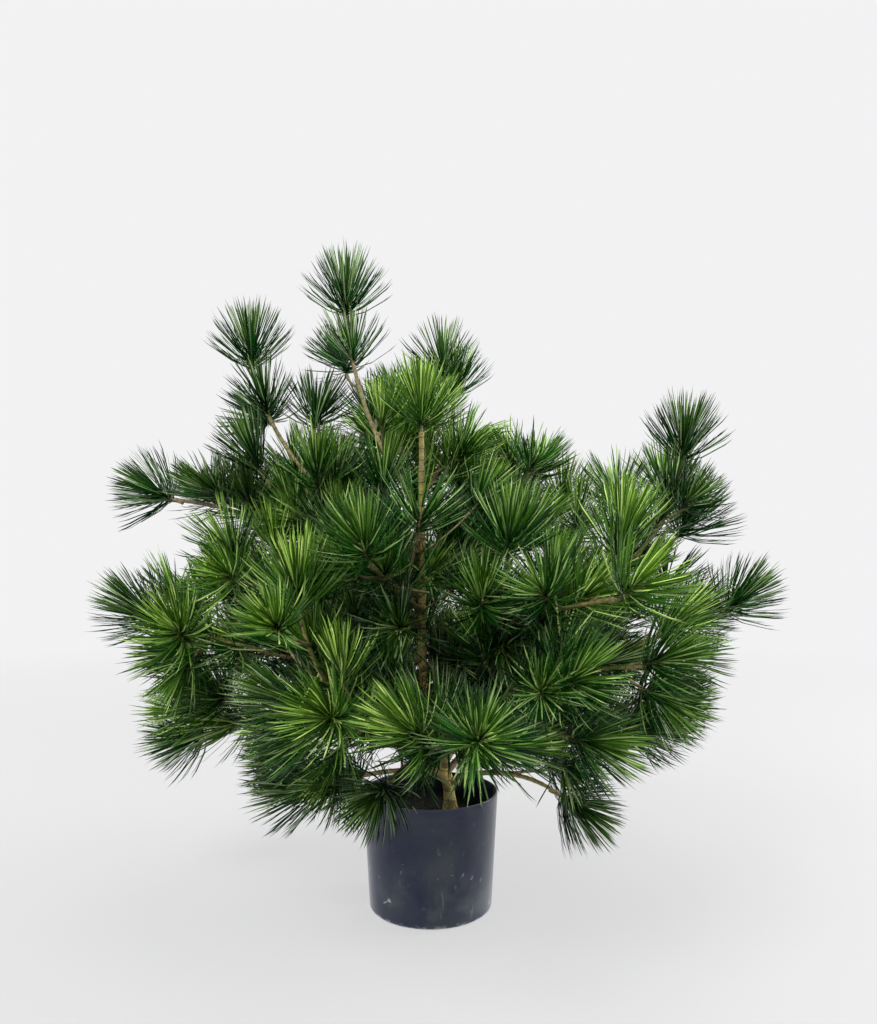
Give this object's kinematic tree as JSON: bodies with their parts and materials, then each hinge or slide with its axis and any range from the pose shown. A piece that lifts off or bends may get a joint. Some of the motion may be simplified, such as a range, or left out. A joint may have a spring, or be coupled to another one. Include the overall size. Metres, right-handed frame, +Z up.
{
  "type": "artificial potted pine",
  "caption": "Artificial potted pine: a leaning stem with tapering boughs ending in tufts of long needles, standing in a plain filled nursery pot.",
  "frame": {"origin": "centre of the pot's flat underside, on the floor", "axes": "+Z up; -Y towards the viewer of the picture; +X to the right in the picture"},
  "size_m": [0.7937, 0.7632, 0.7392],
  "materials": {
    "pot": "satin black plastic with light scuffs and dust",
    "fill": "dark set filling, rough",
    "bark": "moulded ochre-brown bark with ring scars",
    "needles_green": "semi-gloss moulded needles, mid green",
    "needles_light": "semi-gloss moulded needles, yellow green",
    "needles_dark": "semi-gloss moulded needles, blue green"
  },
  "bodies": {
    "root": {"bough_back": "bark", "bough_back_high_left": "bark", "bough_back_left": "bark", "bough_back_low": "bark", "bough_back_low_right": "bark", "bough_back_right": "bark", "bough_front_left": "bark", "bough_front_left_low": "bark", "bough_front_low": "bark", "bough_front_right": "bark", "bough_front_right_low": "bark", "bough_left": "bark", "bough_left_front": "bark", "bough_left_high": "bark", "bough_left_low": "bark", "bough_low_front": "bark", "bough_low_left": "bark", "bough_right": "bark", "bough_right_back": "bark", "bough_right_high": "bark", "bough_right_low": "bark", "bough_top_left": "bark", "bough_upper_back": "bark", "bough_upper_left": "bark", "fill": "fill", "needles_back": "needles_dark", "needles_back_high_left": "needles_dark", "needles_back_high_right": "needles_green", "needles_back_left": "needles_light", "needles_back_low": "needles_light", "needles_back_low_right": "needles_dark", "needles_back_right": "needles_green", "needles_back_top": "needles_light", "needles_front_left": "needles_dark", "needles_front_left_low": "needles_light", "needles_front_low": "needles_light", "needles_front_right": "needles_green", "needles_front_right_low": "needles_dark", "needles_front_up_left": "needles_green", "needles_leader": "needles_green", "needles_left": "needles_green", "needles_left_front": "needles_dark", "needles_left_high": "needles_green", "needles_left_low": "needles_light", "needles_left_shoulder": "needles_light", "needles_low_front": "needles_green", "needles_low_left": "needles_dark", "needles_low_right": "needles_green", "needles_right": "needles_light", "needles_right_back": "needles_light", "needles_right_high": "needles_dark", "needles_right_low": "needles_dark", "needles_top_left": "needles_green", "needles_upper_back": "needles_dark", "needles_upper_left": "needles_light", "needles_upper_right": "needles_green", "pot": "pot", "trunk": "bark"}
  },
  "joints": []
}
